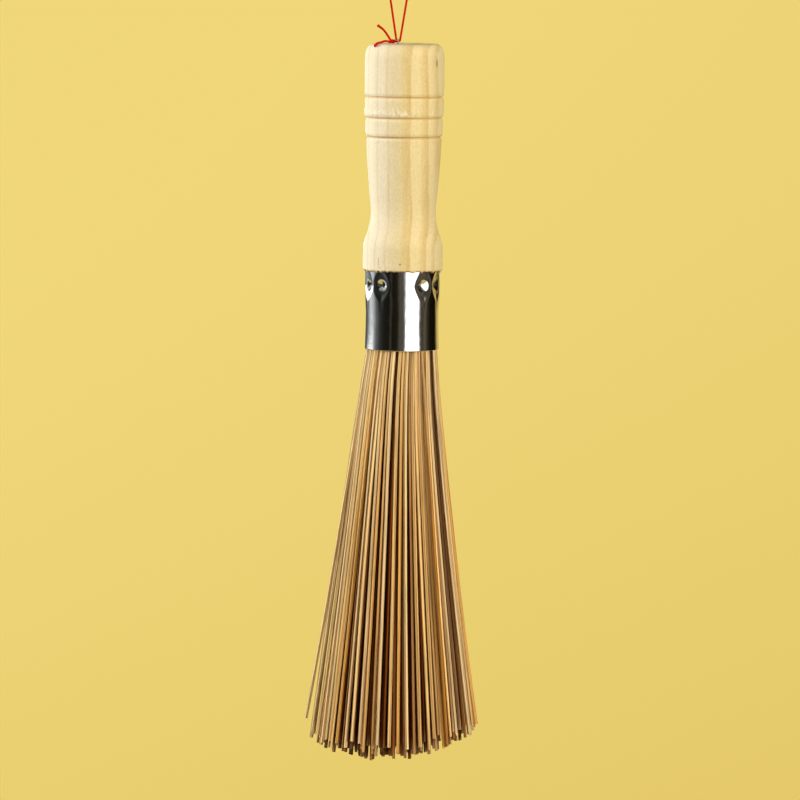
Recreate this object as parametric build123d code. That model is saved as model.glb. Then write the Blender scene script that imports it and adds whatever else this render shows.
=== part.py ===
from build123d import *
import math
import os

os.makedirs("parts", exist_ok=True)

# Wok brush: turned pine handle, crimped steel ferrule, bamboo splints, red thread loop.
# Millimetres. The origin is the middle of the hook that the loop hangs on, the brush hangs
# below it along -Z, the front is -Y, and the loop lies in the XZ plane.

# Place of the handle under the hook
hook_drop = 29.0            # hook middle to the handle's top face
staple_offset = 2.8         # handle axis to the staple, sideways

# Handle
barrel_radius = 16.65
top_round_width = 3.45      # the top edge is a quarter ellipse
top_round_height = 5.9
groove_drops = [21.7, 30.4, 38.4]       # below the top face
band_radii = [barrel_radius, 16.5, 16.2, 15.75]     # above, between and below the grooves
groove_width = 1.5
groove_depth = 0.85
cove_drop = 40.6            # where the long taper to the waist begins
waist_drop = 69.6           # where the taper ends
waist_radius = 13.68
waist_length = 1.3
foot_drop = 85.6            # where the flare below the waist meets the straight foot
foot_radius = 16.75
handle_height = 94.5        # top face to the underside of the foot
tenon_length = 16.0
tenon_clearance = 0.05

# Ferrule
ferrule_radius = 15.65
ferrule_wall = 0.4
ferrule_height = 33.3
seam_gap = 0.15             # butt seam of the rolled sheet, at the back
dimple_drop = 6.1           # ferrule's top edge to the middle of the dimples
dimple_angles = [35.5, 68.0]            # from the front, and mirrored to all four quarters
punch_width = 5.3
punch_tip_width = 1.6
punch_depth = 1.25

# Thread and staple
thread_diameter = 0.8
tail_diameter = 1.0
thread_height = 0.95        # top face to the middle of the thread where it passes under the staple
thread_clearance = 0.1
staple_wire = 0.6
staple_span = 4.4
staple_corner = 1.0
staple_leg = 8.0
staple_fit = 0.02           # the legs' holes are this much wider all round
knot_offset = 1.3           # staple to the near end of the knot
knot_length = 2.75
knot_radius = 0.93
knot_end_radius = 0.55
knot_waist_radius = 0.8
knot_fit = 0.02             # the tails stand this far off the knot
bend_share = 0.45           # share of a run that the bend at each of its ends takes

# The thread's routes, chosen by eye along the thread: points in the frame of the hook
loop_route = [
    (-1.25, 0, -28.05),
    (0.30, 0, -28.05),
    (0.74, 0, -27.67),
    (5.44, 0, 2.43),
    (0, 0, 5.96),
    (-5.44, 0, 2.43),
    (-0.77, 0, -27.50),
]
upper_tail_route = [
    (-3.10, 0.40, -27.70),
    (-4.60, 0.45, -25.35),
    (-5.80, 0.30, -23.70),
    (-7.08, 0.10, -22.45),
    (-8.80, 0, -21.36),
]
lower_tail_route = [
    (-3.90, -0.35, -28.20),
    (-5.35, -1.90, -27.70),
    (-6.70, -4.30, -28.28),
    (-8.00, -6.90, -28.44),
    (-9.00, -8.65, -28.72),
    (-9.72, -9.95, -29.74),
]

# Splints
splint_side = 1.1
splint_gap = 0.1            # between neighbours at the root
ring_gap = 0.17             # between one ring and the next at the root
bundle_radius = 13.0        # at the root, in the glue
bundle_tip_radius = 35.0
bundle_lean = 2.0           # the tips stand this far to the left of the handle's axis
splint_reach = 169.5        # ferrule's mouth to the tips in the middle
dome_rise = 9.5             # how much shorter the outermost splints end
tip_scatter = 3.0           # splints end unevenly, up or down by this
side_scatter = 0.5          # and stray sideways by this at the tips
narrow_share = 0.78         # the narrowest splints' width as a share of the widest
golden_share = 0.618034     # steps that spread the uneven values evenly
silver_share = 0.754878
bronze_share = 0.569840
glue_thickness = 3.0
splint_hold = 0.3           # the splints go this far into the glue, where they don't fan out yet
glue_gap = 0.1              # tenon's end to the glue, and the glue to the ferrule
slice_gap = 0.04            # between the glue slices of two rings

# Counts that keep the facets few
top_round_cones = 5
cove_cones = 4
flare_cones = 7
foot_round_cones = 2
punch_sides = 8
cord_sides = 8

overrun = 1.0               # how far a cut runs past what it cuts

# Derived places, in the handle's own frame: its axis is Z and its top face is z = 0
thread_radius = thread_diameter / 2
wire_radius = staple_wire / 2
crown_height = thread_height + thread_radius + wire_radius + thread_clearance
mouth_level = -handle_height - ferrule_height
tenon_end = -handle_height - tenon_length
glue_top = tenon_end - glue_gap
glue_bottom = glue_top - glue_thickness
brush_place = Location((staple_offset, 0, -hook_drop))


def turned(outline):
    """Revolve a half outline, drawn in the XZ plane, round the handle's axis."""
    return revolve(make_face(outline), Axis.Z)


def quarter_round(middle, width, height, turn, cones):
    """Points of a quarter ellipse, from a first angle in degrees, clockwise."""
    points = []
    for step in range(cones + 1):
        angle = math.radians(turn - 90 * step / cones)
        points.append((middle[0] + width * math.cos(angle), middle[1] + height * math.sin(angle)))
    return points


def swept_side(start, end, cones):
    """Points of a cosine sweep: parallel to the axis at both ends and steepest in the middle."""
    points = []
    for step in range(cones + 1):
        share = step / cones
        eased = (1 - math.cos(math.pi * share)) / 2
        points.append((start[0] + (end[0] - start[0]) * eased, start[1] + (end[1] - start[1]) * share))
    return points


def cord_tube(route, diameter, name):
    """A tube along straight runs joined by tangent arcs, each as large as its runs allow."""
    points = [Vector(*point) for point in route]
    radii = []
    for before, corner, after in zip(points, points[1:], points[2:]):
        run_in = corner - before
        run_out = after - corner
        half_turn = math.radians(run_in.get_angle(run_out)) / 2
        shorter = min(run_in.length, run_out.length)
        radii.append(bend_share * shorter / math.tan(half_turn))
    path = FilletPolyline(*points, radius=radii)
    start = Plane(origin=points[0], z_dir=points[1] - points[0])
    section = start * RegularPolygon(diameter / 2, cord_sides)
    tube = sweep(section, path=path)
    expected = section.area * path.length
    print(name, "radii", [round(radius, 2) for radius in radii], "length", round(path.length, 2),
          "volume over section times length", round(tube.volume / expected, 4))
    return tube


# Handle: half outline from the axis out over the top, down the side and back in under the foot
foot_round = foot_radius - ferrule_radius
round_middle = (barrel_radius - top_round_width, -top_round_height)
outline = [(0, 0)]
outline += quarter_round(round_middle, top_round_width, top_round_height, 90, top_round_cones)
for drop, radius_above, radius_below in zip(groove_drops, band_radii, band_radii[1:]):
    outline += [
        (radius_above, -drop + groove_width / 2),
        (radius_above - groove_depth, -drop),
        (radius_below, -drop - groove_width / 2),
    ]
waist_end = (waist_radius, -waist_drop - waist_length)
outline += swept_side((band_radii[-1], -cove_drop), (waist_radius, -waist_drop), cove_cones)
outline += swept_side(waist_end, (foot_radius, -foot_drop), flare_cones)
foot_middle = (ferrule_radius, -handle_height + foot_round)
outline += quarter_round(foot_middle, foot_round, foot_round, 0, foot_round_cones)
outline += [(0, -handle_height), (0, 0)]
with BuildLine(Plane.XZ) as handle_line:
    Polyline(*outline)
grip = turned(handle_line.line)

# Crimp: each punch sinks a blunt eight-sided point into the tube
punch_slope = (punch_width - punch_tip_width) / 2 / punch_depth


def crimp_tools(growth):
    """The eight punches, all grown by the same amount."""
    height = punch_depth + growth + overrun
    tip_reach = punch_tip_width / 2 + growth * (math.hypot(1, punch_slope) - punch_slope)
    wide_end = RegularPolygon(tip_reach + punch_slope * height, punch_sides, major_radius=False)
    point = extrude(wide_end, height, taper=math.degrees(math.atan(punch_slope)))
    punch = Pos(ferrule_radius + overrun, 0, -handle_height - dimple_drop) * Rot(0, -90, 0) * point
    tools = []
    for side in (-1, 1):
        for half in (-1, 1):
            for angle in dimple_angles:
                tools.append(Rot(0, 0, half * 90 - side * half * angle) * punch)
    return tools


def ferrule_form(inward):
    """The solid inside the ferrule's outline, moved in by a thickness, run past both ends."""
    inside = Pos(0, 0, mouth_level - overrun) * Rot(0, 0, 90) * Cylinder(
        ferrule_radius - inward,
        ferrule_height + 2 * overrun,
        align=(Align.CENTER, Align.CENTER, Align.MIN),
    )
    return inside - crimp_tools(inward)


# Tenon: the wood fills the tube and its dimples, a clearance inside the sheet
tenon = ferrule_form(ferrule_wall + tenon_clearance) & Pos(0, 0, -handle_height) * Cylinder(
    foot_radius, tenon_length, align=(Align.CENTER, Align.CENTER, Align.MAX)
)
handle = grip + tenon
for side in (-1, 1):
    handle -= Pos(-staple_offset, side * staple_span / 2, overrun) * Cylinder(
        wire_radius + staple_fit,
        staple_leg + staple_fit + overrun,
        align=(Align.CENTER, Align.CENTER, Align.MAX),
    )

# Ferrule: a sheet of one thickness, so the inside is the outside moved in by the wall
ferrule = ferrule_form(0) - ferrule_form(ferrule_wall)
ferrule &= Pos(0, 0, mouth_level) * Cylinder(
    foot_radius, ferrule_height, align=(Align.CENTER, Align.CENTER, Align.MIN)
)
ferrule -= Pos(0, ferrule_radius - ferrule_wall / 2, mouth_level - overrun) * Box(
    seam_gap,
    ferrule_wall * 4,
    ferrule_height + 2 * overrun,
    align=(Align.CENTER, Align.CENTER, Align.MIN),
)

# Staple: one wire, legs in the handle, its crown along Y over the thread
with BuildLine() as staple_line:
    FilletPolyline(
        (-staple_offset, -staple_span / 2, -staple_leg),
        (-staple_offset, -staple_span / 2, crown_height),
        (-staple_offset, staple_span / 2, crown_height),
        (-staple_offset, staple_span / 2, -staple_leg),
        radius=staple_corner,
    )
staple_foot = Plane(origin=(-staple_offset, -staple_span / 2, -staple_leg), z_dir=(0, 0, 1))
thread_staple = sweep(staple_foot * RegularPolygon(wire_radius, cord_sides), path=staple_line.line)

# Knot: two lobes round the thread, turned about the line that the loop swings on
knot_near = -staple_offset - knot_offset
knot_far = knot_near - knot_length
lobe = knot_length / 4


def knot_form(growth):
    """The knot, or the same form grown all over."""
    near = knot_near + growth
    far = knot_far - growth
    end_top = thread_height + knot_end_radius + growth
    lobe_top = thread_height + knot_radius + growth
    with BuildLine(Plane.XZ) as knot_line:
        Polyline(
            (near, thread_height),
            (near, end_top),
            (knot_near - lobe, lobe_top),
            (knot_near - 2 * lobe, thread_height + knot_waist_radius + growth),
            (knot_near - 3 * lobe, lobe_top),
            (far, end_top),
            (far, thread_height),
            (near, thread_height),
        )
    knot_axis = Axis((near, 0, thread_height), (1, 0, 0))
    return brush_place * revolve(make_face(knot_line.line), knot_axis)


thread_knot = knot_form(0)
hanging_loop = cord_tube(loop_route, thread_diameter, "hanging_loop")
thread_tail_upper = cord_tube(upper_tail_route, tail_diameter, "thread_tail_upper") - knot_form(knot_fit)
thread_tail_lower = cord_tube(lower_tail_route, tail_diameter, "thread_tail_lower") - knot_form(knot_fit)


# Splints: rings of square strips, each ring held by its own slice of glue. Each strip is straight,
# so the bundle is narrow in the glue, just fills the ferrule's mouth and fans out below it.
def uneven(serial, step_share):
    """A value from -1 to 1 that differs for each splint."""
    return 2 * ((serial * step_share) % 1) - 1


def splint(ring_radius, turn, serial):
    """One straight strip, from inside the glue to its tip."""
    spread = ring_radius / (bundle_radius - splint_side / 2)
    half_side = splint_side / 2
    half_width = half_side * (1 + narrow_share + (1 - narrow_share) * uneven(serial, golden_share)) / 2
    tip_level = (
        mouth_level - splint_reach + dome_rise * spread**2 + tip_scatter * uneven(serial, silver_share)
    )
    stray_out = uneven(serial, bronze_share)
    stray_side = uneven(serial, golden_share * silver_share)
    # level, bundle radius, lean to the left, stray
    stations = [
        (glue_bottom + splint_hold, bundle_radius, 0, 0),
        (tip_level, bundle_tip_radius, bundle_lean, side_scatter),
    ]
    sections = []
    for level, outer_radius, lean, stray in stations:
        middle = (outer_radius - half_side) * spread + stray * stray_out
        corners = []
        for out, side in ((-1, -1), (1, -1), (1, 1), (-1, 1)):
            outward = middle + out * half_side
            sideways = stray * stray_side + side * half_width
            corners.append((
                outward * math.cos(turn) - sideways * math.sin(turn) - lean,
                outward * math.sin(turn) + sideways * math.cos(turn),
                level,
            ))
        sections.append(Wire.make_polygon([Vector(*corner) for corner in corners]))
    return Solid.make_loft(sections, ruled=True)


ring_step = splint_side + ring_gap
outer_ring_radius = bundle_radius - splint_side / 2
ring_count = math.floor(outer_ring_radius / ring_step) + 1
slice_half = (ring_step - slice_gap) / 2
glue_radius = ferrule_radius - ferrule_wall - glue_gap
slice_place = Pos(0, 0, glue_bottom)
splint_rings = {}
serial = 0
for ring in range(ring_count):
    ring_radius = outer_ring_radius - ring * ring_step
    slice_radius = glue_radius if ring == 0 else ring_radius + slice_half
    if ring_radius > ring_step:
        pitch = 2 * math.atan((splint_side + splint_gap) / 2 / (ring_radius - splint_side / 2))
        count = math.floor(2 * math.pi / pitch)
        # one flat side for each splint
        slice_face = RegularPolygon(slice_radius, count, rotation=180 / count) - RegularPolygon(
            ring_radius - slice_half, count, major_radius=False, rotation=180 / count
        )
    else:
        count = 1
        ring_radius = 0
        slice_face = RegularPolygon(slice_radius, cord_sides)
    glue_slice = slice_place * extrude(slice_face, glue_thickness)
    splints = []
    for place in range(count):
        serial += 1
        splints.append(splint(ring_radius, 2 * math.pi * place / count, serial))
    splint_rings[f"splint_ring_{ring + 1:02d}"] = glue_slice.fuse(*splints)
print("splints", serial, "in rings", ring_count)

nodes = {
    "handle": brush_place * handle,
    "ferrule": brush_place * ferrule,
    "thread_staple": brush_place * thread_staple,
    "hanging_loop": hanging_loop,
    "thread_knot": thread_knot,
    "thread_tail_upper": thread_tail_upper,
    "thread_tail_lower": thread_tail_lower,
}
for name, ring_solid in splint_rings.items():
    nodes[name] = brush_place * ring_solid

for name, solid in nodes.items():
    export_step(solid, f"parts/{name}.step")
    print(name, "volume", round(solid.volume, 2))
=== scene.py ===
import math

import bmesh
import bpy
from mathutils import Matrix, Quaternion, Vector, noise


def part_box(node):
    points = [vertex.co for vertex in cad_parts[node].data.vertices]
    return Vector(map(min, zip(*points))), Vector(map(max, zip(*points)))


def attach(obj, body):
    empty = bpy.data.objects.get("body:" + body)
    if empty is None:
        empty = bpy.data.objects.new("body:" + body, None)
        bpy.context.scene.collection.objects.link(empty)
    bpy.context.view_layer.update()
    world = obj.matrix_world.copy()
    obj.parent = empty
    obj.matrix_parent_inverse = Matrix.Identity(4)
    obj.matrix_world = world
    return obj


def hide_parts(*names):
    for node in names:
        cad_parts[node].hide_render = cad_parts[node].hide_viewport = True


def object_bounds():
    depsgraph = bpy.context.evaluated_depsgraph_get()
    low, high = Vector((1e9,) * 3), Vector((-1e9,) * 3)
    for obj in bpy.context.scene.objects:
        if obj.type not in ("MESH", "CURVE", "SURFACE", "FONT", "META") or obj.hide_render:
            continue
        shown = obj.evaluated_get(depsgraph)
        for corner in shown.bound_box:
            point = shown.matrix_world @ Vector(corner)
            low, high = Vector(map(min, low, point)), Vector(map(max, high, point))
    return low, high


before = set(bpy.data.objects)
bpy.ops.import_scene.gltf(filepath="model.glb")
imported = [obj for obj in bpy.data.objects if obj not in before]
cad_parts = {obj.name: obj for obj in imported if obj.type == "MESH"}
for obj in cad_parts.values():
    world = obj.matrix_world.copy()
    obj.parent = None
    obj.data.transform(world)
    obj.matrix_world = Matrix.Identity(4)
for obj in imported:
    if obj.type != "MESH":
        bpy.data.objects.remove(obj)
cad_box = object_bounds()
mm = 0.001

# Camera: a long lens, a little above the brush and looking slightly down on it. The brush hangs
# with its tips a little to the left, which the camera's roll gives.
picture_pixels = 800
pixel_size = 0.42 * mm
camera_field = math.radians(7.0)
camera_elevation = math.radians(5.1)
camera_roll = math.radians(0.59)
aim_across = 2.28 * mm
aim_drop = 149.5 * mm


def new_object(name, data, material=None):
    """An object at the origin that holds a mesh, a curve, a lamp or a camera."""
    if material:
        data.materials.append(material)
    made = bpy.data.objects.new(name, data)
    bpy.context.scene.collection.objects.link(made)
    return made


handle_low, handle_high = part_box("handle")
handle_axis_x = (handle_low.x + handle_high.x) / 2
handle_top = handle_high.z
camera_distance = picture_pixels * pixel_size / 2 / math.tan(camera_field / 2)
towards_camera = Vector((0, -math.cos(camera_elevation), math.sin(camera_elevation)))
camera_data = bpy.data.cameras.new("camera")
camera_data.lens = camera_data.sensor_width / 2 / math.tan(camera_field / 2)
camera_data.clip_start = 0.1
camera_data.clip_end = 100
camera = new_object("camera", camera_data)
camera.location = Vector((aim_across, 0, handle_top - aim_drop)) + towards_camera * camera_distance
camera.rotation_mode = "QUATERNION"
level_view = (-towards_camera).to_track_quat("-Z", "Y")
camera.rotation_quaternion = level_view @ Quaternion((0, 0, 1), camera_roll)
bpy.context.scene.camera = camera
bpy.context.scene.view_settings.view_transform = "Standard"

# Floor: a wide sheet of straw yellow paper well below the hanging brush. The lamps light it only a
# little, so that it keeps the brush's shadow, and the rest of what is seen is its own glow.
floor_drop = 400 * mm
floor_reach = 60.0
floor_paper = (0.05, 0.037, 0.011, 1)
floor_bright = (0.992, 0.767, 0.219, 1)
floor_dim = (0.765, 0.545, 0.100, 1)
# the paper is dimmer the nearer it is to the camera, by a power, and behind the brush towards the right
near_distance = 0.836
near_power = 1.9
near_dimness = 13.0
aside_limit = 0.08
aside_dimness = 1.8
glow_on_object = 0.10
glow_in_view = 0.775


def add_node(tree, kind, settings=None, inputs=None):
    """One node of a tree: its own settings, then its inputs as values or as other nodes' sockets."""
    node = tree.nodes.new(kind)
    for name, value in (settings or {}).items():
        setattr(node, name, value)
    for name, value in (inputs or {}).items():
        if isinstance(value, bpy.types.NodeSocket):
            tree.links.new(value, node.inputs[name])
        else:
            node.inputs[name].default_value = value
    return node


def math_node(tree, operation, first, second=0.0, third=0.0):
    """The result of one sum on numbers or sockets."""
    inputs = {0: first, 1: second, 2: third}
    return add_node(tree, "ShaderNodeMath", {"operation": operation}, inputs).outputs[0]


def mixed(tree, share, first, second):
    """Two colours mixed."""
    inputs = {0: share, 6: first, 7: second}
    return add_node(tree, "ShaderNodeMix", {"data_type": "RGBA"}, inputs).outputs[2]


def new_material(name, roughness, metallic=0.0, specular=0.5):
    """A material whose shader has these values all over, and its tree and shader."""
    material = bpy.data.materials.new(name)
    material.use_nodes = True
    shader = material.node_tree.nodes["Principled BSDF"]
    shader.inputs["Roughness"].default_value = roughness
    shader.inputs["Metallic"].default_value = metallic
    shader.inputs["Specular IOR Level"].default_value = specular
    return material, material.node_tree, shader


def object_place(tree):
    """A point's place on its object, in metres."""
    return add_node(tree, "ShaderNodeTexCoord").outputs["Object"]


def parts_of(tree, place):
    """The x, y and z of a place."""
    return add_node(tree, "ShaderNodeSeparateXYZ", None, {"Vector": place}).outputs


def distance_across(tree, x, y):
    """How far a place is from the middle, by its x and y."""
    squares = [math_node(tree, "POWER", part, 2.0) for part in (x, y)]
    return math_node(tree, "SQRT", math_node(tree, "ADD", *squares))


floor_material, tree, shader = new_material("straw_paper", 0.9, specular=0.0)
shader.inputs["Base Color"].default_value = floor_paper
floor_place = parts_of(tree, object_place(tree))
from_brush = distance_across(tree, floor_place["X"], floor_place["Y"])
distance = math_node(tree, "ADD", from_brush, camera_distance)
nearness = math_node(tree, "POWER", math_node(tree, "DIVIDE", near_distance, distance), near_power)
aside = math_node(tree, "DIVIDE", floor_place["X"], distance)
aside = math_node(tree, "MAXIMUM", math_node(tree, "MINIMUM", aside, aside_limit), -aside_limit)
behind = math_node(tree, "DIVIDE", floor_place["Y"], math_node(tree, "MAXIMUM", from_brush, 1 * mm))
aside = math_node(tree, "MULTIPLY", aside, math_node(tree, "MAXIMUM", behind, 0.0))
dimness = math_node(tree, "MULTIPLY", nearness, near_dimness)
dimness = math_node(tree, "MULTIPLY_ADD", aside, aside_dimness, dimness)
tree.links.new(mixed(tree, dimness, floor_bright, floor_dim), shader.inputs["Emission Color"])
camera_ray = add_node(tree, "ShaderNodeLightPath").outputs["Is Camera Ray"]
floor_glow = math_node(tree, "MULTIPLY_ADD", camera_ray, glow_in_view, glow_on_object)
tree.links.new(floor_glow, shader.inputs["Emission Strength"])
floor_level = cad_box[0].z - floor_drop
floor_corners = [
    (x * floor_reach, y * floor_reach, floor_level) for x, y in ((-1, -1), (1, -1), (1, 1), (-1, 1))
]
floor_mesh = bpy.data.meshes.new("floor")
floor_mesh.from_pydata(floor_corners, [], [(0, 1, 2, 3)])
floor = new_object("floor", floor_mesh, floor_material)
floor.visible_glossy = False

# Light: an even world and five soft boxes, which the plating doesn't see. It sees the studio round
# the brush, dark but for a bright box to the right of the camera, a soft one behind on the left, and
# the straw paper behind and below. The camera sees a backdrop of the floor's colour.
backdrop_colour = (0.868, 0.671, 0.192, 1)
world_colour = (1, 0.96, 0.86, 1)
world_strength = 0.13
studio_strength = 2.0
studio_round = [
    # azimuth right of the camera, and the brightness there in red, green and blue
    (-180, 0.760, 0.578, 0.212),
    (-168, 0.700, 0.530, 0.190),
    (-162, 0.070, 0.062, 0.045),
    (-148, 0.075, 0.085, 0.095),
    (-134, 0.260, 0.290, 0.310),
    (-118, 0.720, 0.745, 0.720),
    (-105, 0.540, 0.560, 0.560),
    (-90, 0.135, 0.145, 0.140),
    (-74, 0.034, 0.036, 0.032),
    (-60, 0.014, 0.013, 0.009),
    (-41, 0.009, 0.008, 0.004),
    (-36, 0.055, 0.047, 0.035),
    (-31, 0.010, 0.008, 0.004),
    (-14, 0.016, 0.013, 0.008),
    (-8, 0.088, 0.076, 0.055),
    (4, 0.085, 0.076, 0.060),
    (9, 0.300, 0.300, 0.290),
    (13, 1.900, 1.880, 1.840),
    (52, 1.900, 1.880, 1.820),
    (58, 0.100, 0.085, 0.060),
    (68, 0.050, 0.042, 0.027),
    (76, 0.120, 0.100, 0.068),
    (86, 0.040, 0.030, 0.018),
    (98, 0.009, 0.007, 0.003),
    (126, 0.006, 0.003, 0.001),
    (134, 0.200, 0.150, 0.050),
    (142, 0.600, 0.430, 0.120),
    (165, 0.740, 0.550, 0.165),
]
studio_below = (0.33, 0.25, 0.09, 1)
studio_above = (0.30, 0.29, 0.27, 1)
studio_window = (0.90, 0.88, 0.82, 1)
# heights in the studio, from -1 straight down to 1 straight up: where it starts, and where it is full
below_heights = (-0.42, -0.75)
above_heights = (0.55, 0.85)
# the middle of the window in the soft box, and how far off its edge is and it is full
window_azimuth = -2.20
window_azimuth_edges = (0.46, 0.34)
window_height = 0.0075
window_height_edges = (0.0575, 0.0325)
soft_boxes = [
    # name, azimuth right of the camera, height over the ferrule, distance, width, height, power, colour
    ("box_right", 44, 0.25, 1.6, 0.4, 0.7, 26.0, (1.0, 0.98, 0.94)),
    ("box_left", -104, 0.10, 1.6, 0.5, 0.9, 30.0, (0.93, 0.97, 1.0)),
    ("box_front", -36, 0.70, 1.5, 0.3, 0.3, 8.5, (1.0, 0.98, 0.94)),
    ("box_top", -35, 1.7, 0.9, 0.7, 0.7, 7.5, (1.0, 0.98, 0.95)),
    ("box_back", 160, 0.50, 1.8, 0.7, 0.9, 6.0, (1.0, 0.96, 0.88)),
]


def ramped(tree, share, stops):
    """A colour by its share along a row of stops, each a place from 0 to 1 and the colour there."""
    ramp = add_node(tree, "ShaderNodeValToRGB", None, {"Fac": share})
    elements = ramp.color_ramp.elements
    for element, (position, colour) in zip(elements, (stops[0], stops[-1])):
        element.position = position
        element.color = (*colour, 1)
    for position, colour in stops[1:-1]:
        elements.new(position).color = (*colour, 1)
    return ramp.outputs["Color"]


def mapped(tree, value, from_low, from_high, to_low=0.0, to_high=1.0, easing="LINEAR"):
    """A value moved from one range into another and held there."""
    inputs = {
        "Value": value,
        "From Min": from_low,
        "From Max": from_high,
        "To Min": to_low,
        "To Max": to_high,
    }
    return add_node(tree, "ShaderNodeMapRange", {"interpolation_type": easing}, inputs).outputs["Result"]


world = bpy.data.worlds.new("studio")
bpy.context.scene.world = world
world.use_nodes = True
tree = world.node_tree
tree.nodes.clear()
towards = parts_of(tree, add_node(tree, "ShaderNodeTexCoord").outputs["Generated"])
heading = math_node(tree, "ARCTAN2", towards["X"], math_node(tree, "MULTIPLY", towards["Y"], -1.0))
round_stops = [
    ((azimuth + 180) / 360, [value / studio_strength for value in colour])
    for azimuth, *colour in studio_round
]
round_stops.append((1.0, round_stops[0][1]))
heading_share = math_node(tree, "MULTIPLY_ADD", heading, 1 / (2 * math.pi), 0.5)
studio_colour = ramped(tree, heading_share, round_stops)
for heights, colour in ((below_heights, studio_below), (above_heights, studio_above)):
    share = mapped(tree, towards["Z"], *heights, easing="SMOOTHSTEP")
    studio_colour = mixed(tree, share, studio_colour, colour)
# the window: a strip of the soft box that shows where the ferrule flares to its mouth
window_off = math_node(tree, "ABSOLUTE", math_node(tree, "SUBTRACT", heading, window_azimuth))
window_share = mapped(tree, window_off, *window_azimuth_edges, easing="SMOOTHSTEP")
window_off = math_node(tree, "ABSOLUTE", math_node(tree, "SUBTRACT", towards["Z"], window_height))
window_rise = mapped(tree, window_off, *window_height_edges, easing="SMOOTHSTEP")
window_share = math_node(tree, "MULTIPLY", window_share, window_rise)
studio_colour = mixed(tree, window_share, studio_colour, studio_window)
ray = add_node(tree, "ShaderNodeLightPath").outputs
seen = None
for seen_colour, strength, kind_of_ray in (
    (world_colour, world_strength, None),
    (studio_colour, studio_strength, "Is Glossy Ray"),
    (backdrop_colour, 1.0, "Is Camera Ray"),
):
    shown = add_node(tree, "ShaderNodeBackground", None, {"Color": seen_colour, "Strength": strength})
    if kind_of_ray:
        shown = add_node(
            tree, "ShaderNodeMixShader", None, {0: ray[kind_of_ray], 1: seen, 2: shown.outputs[0]}
        )
    seen = shown.outputs[0]
add_node(tree, "ShaderNodeOutputWorld", None, {"Surface": seen})

ferrule_low, ferrule_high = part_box("ferrule")
ferrule_middle = (ferrule_low + ferrule_high) / 2
for name, azimuth, rise, away, width, height, power, colour in soft_boxes:
    lamp = bpy.data.lights.new(name, "AREA")
    lamp.shape = "RECTANGLE"
    lamp.size = width
    lamp.size_y = height
    lamp.energy = power
    lamp.color = colour
    soft_box = new_object(name, lamp)
    turn = math.radians(azimuth)
    from_ferrule = Vector((math.sin(turn) * away, -math.cos(turn) * away, rise))
    soft_box.location = ferrule_middle + from_ferrule
    soft_box.rotation_mode = "QUATERNION"
    soft_box.rotation_quaternion = (-from_ferrule).to_track_quat("-Z", "Y")
    soft_box.visible_camera = False
    soft_box.visible_glossy = False

# Hanging loop: red thread of three loose plies, about 0.9 mm thick. It leaves the knot, passes under
# the staple, runs up and round the hook, which isn't shown, and comes down to the knot again.
thread_diameter = 0.92 * mm
thread_route = [
    (-1.25, 0, -28.05),
    (0.30, 0, -28.05),
    (0.74, 0, -27.67),
    (0.825, 0, -27.13),
    (4.70, 0, -2.31),
    (5.44, 0, 2.43),
    (0, 0, 5.96),
    (-5.44, 0, 2.43),
    (-4.70, 0, -2.31),
    (-0.77, 0, -27.50),
]
thread_step = 0.12 * mm
ply_count = 3
ply_turn = 2.1 * mm
ply_sides = 8
# the plies are soft and press into each other, so each is a little thicker than a hard one
ply_softness = 1.12
loose_share = 0.15
thread_shade = (0.38, 0.006, 0.002)
thread_red = (0.74, 0.018, 0.004)
thread_fibres_per_metre = 5200.0
thread_relief = (0.5, 0.05 * mm)


def plain_mesh(holder):
    """The mesh that an object's curve or modifier makes; the object is removed."""
    bpy.context.view_layer.update()
    mesh = bpy.data.meshes.new_from_object(holder.evaluated_get(bpy.context.evaluated_depsgraph_get()))
    bpy.data.objects.remove(holder)
    return mesh


def smooth_line(name, points):
    """The points of a smooth line that has the given points as its control points."""
    curve = bpy.data.curves.new(name, "CURVE")
    curve.dimensions = "3D"
    spline = curve.splines.new("NURBS")
    spline.points.add(len(points) - 1)
    for control, point in zip(spline.points, points):
        control.co = (point[0] * mm, point[1] * mm, point[2] * mm, 1)
    spline.order_u = 3
    spline.use_endpoint_u = True
    spline.resolution_u = 16
    mesh = plain_mesh(new_object(name, curve))
    line = [vertex.co.copy() for vertex in mesh.vertices]
    bpy.data.curves.remove(curve)
    bpy.data.meshes.remove(mesh)
    return line


def evenly(line, step):
    """The same line with its points a step apart."""
    reached = [0.0]
    for before, after in zip(line, line[1:]):
        reached.append(reached[-1] + (after - before).length)
    count = max(2, round(reached[-1] / step))
    even_line = []
    number = 0
    for mark in range(count + 1):
        target = reached[-1] * mark / count
        while number < len(line) - 2 and reached[number + 1] < target:
            number += 1
        span = max(reached[number + 1] - reached[number], 1e-12)
        share = min(1, max(0, (target - reached[number]) / span))
        even_line.append(line[number].lerp(line[number + 1], share))
    return even_line


def skin(builder, rows, facing_out):
    """Faces between rows of points that run round a piece, the other way about for an inner wall."""
    count = len(rows[0])
    for before, after in zip(rows, rows[1:]):
        for side in range(count):
            other = (side + 1) % count
            if facing_out:
                builder.faces.new((before[side], after[side], after[other], before[other]))
            else:
                builder.faces.new((before[side], before[other], after[other], after[side]))


def smooth_mesh(name, builder):
    """A mesh, smoothly shaded, of all that was built."""
    for face in builder.faces:
        face.smooth = True
    mesh = bpy.data.meshes.new(name)
    builder.to_mesh(mesh)
    builder.free()
    return mesh


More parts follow.
